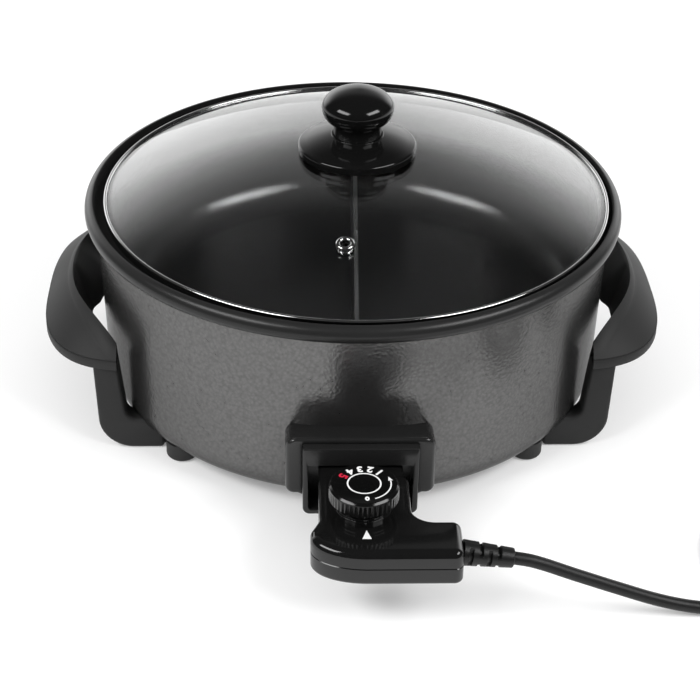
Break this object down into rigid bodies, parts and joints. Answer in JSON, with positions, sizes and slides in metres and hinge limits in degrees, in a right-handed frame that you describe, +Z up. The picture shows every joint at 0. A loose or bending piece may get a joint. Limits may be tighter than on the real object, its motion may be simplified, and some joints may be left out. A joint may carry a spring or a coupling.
{
  "type": "electric skillet",
  "caption": "Deep round electric skillet with side handles on legs, lift-off glass lid, divider plate and a plug-in thermostat controller on a mains cord.",
  "frame": {"origin": "on the table, at the middle of the footprint of pan and controller; the pan's axis is 45 mm behind it", "axes": "+Z up, -Y towards the front where the controller plugs in, +X to the right seen from the front"},
  "size_m": [0.487, 0.41, 0.1951],
  "materials": {
    "non_stick": "cast aluminium with a black satin non-stick coating",
    "pebble_coat": "dark grey pebbled powder coat on sheet steel",
    "zinc_sheet": "zinc-plated sheet",
    "fastener": "zinc-plated steel",
    "foot_rubber": "matt moulded rubber",
    "element_sheath": "oxidised steel sheath",
    "spreader_sheet": "plain rolled sheet",
    "contact_brass": "plain turned or stamped",
    "ceramic": "fired ceramic bush",
    "probe_steel": "drawn stainless steel",
    "socket_plastic": "black heat-resistant moulding",
    "handle_plastic": "black satin heat-resistant moulding",
    "divider_coat": "grey non-stick coated sheet",
    "lid_glass": "clear tempered glass",
    "bright_steel": "bright rolled stainless steel",
    "knob_plastic": "polished black phenolic moulding",
    "silicone": "silicone washer",
    "case_plastic": "black gloss moulding",
    "dial_plastic": "black moulding with a printed scale",
    "block_resin": "brown phenolic block",
    "cord_rubber": "black flexible sheath",
    "tie_plastic": "plain black strap",
    "plug_plastic": "black moulded plug",
    "plug_metal": "nickel-plated brass"
  },
  "bodies": {
    "base": {"cooking_pot": "non_stick", "casing": "pebble_coat", "base_plate": "zinc_sheet", "base_screws": "fastener", "feet": "foot_rubber", "heating_element": "element_sheath", "heat_spreader": "spreader_sheet", "element_clamp": "zinc_sheet", "clamp_nut": "fastener", "terminal_pins": "contact_brass", "terminal_bushes": "ceramic", "earth_pin": "contact_brass", "probe_tube": "probe_steel", "socket_shroud": "socket_plastic", "socket_guard": "socket_plastic", "socket_screws": "fastener", "left_grip": "handle_plastic", "right_grip": "handle_plastic", "left_legs": "handle_plastic", "right_legs": "handle_plastic", "handle_screws": "fastener", "handle_nuts": "fastener"},
    "divider": {"divider": "divider_coat"},
    "lid": {"lid_glass": "lid_glass", "lid_band": "bright_steel", "knob_base": "knob_plastic", "lid_knob": "knob_plastic", "lid_gasket": "silicone", "knob_washer": "fastener", "knob_screw": "fastener", "vent_eyelet": "bright_steel"},
    "controller": {"controller_top": "case_plastic", "controller_bottom": "case_plastic", "case_screws": "fastener", "dial_collar": "case_plastic", "terminal_block": "block_resin", "pin_receptacles": "contact_brass", "switch_blades": "contact_brass", "probe_rod": "probe_steel", "strain_relief": "cord_rubber", "cord": "cord_rubber", "cord_coil": "cord_rubber", "coil_tie": "tie_plastic", "cord_tail": "cord_rubber", "plug_body": "plug_plastic", "plug_pins": "plug_metal"},
    "dial": {"dial": "dial_plastic", "dial_shaft": "probe_steel"}
  },
  "joints": [
    {"name": "divider_lift", "type": "slide", "parent": "base", "child": "divider", "axis": [0, 0, 1], "range_m": [0, 0.1]},
    {"name": "lid_lift", "type": "slide", "parent": "divider", "child": "lid", "axis": [0, 0, 1], "range_m": [0, 0.12]},
    {"name": "controller_pull", "type": "slide", "parent": "base", "child": "controller", "axis": [0, -1, 0], "range_m": [0, 0.12]},
    {"name": "dial_turn", "type": "hinge", "parent": "controller", "child": "dial", "pos_m": [0, -0.169, 0.06], "axis": [0, 0, -1], "range_deg": [0, 240]}
  ]
}
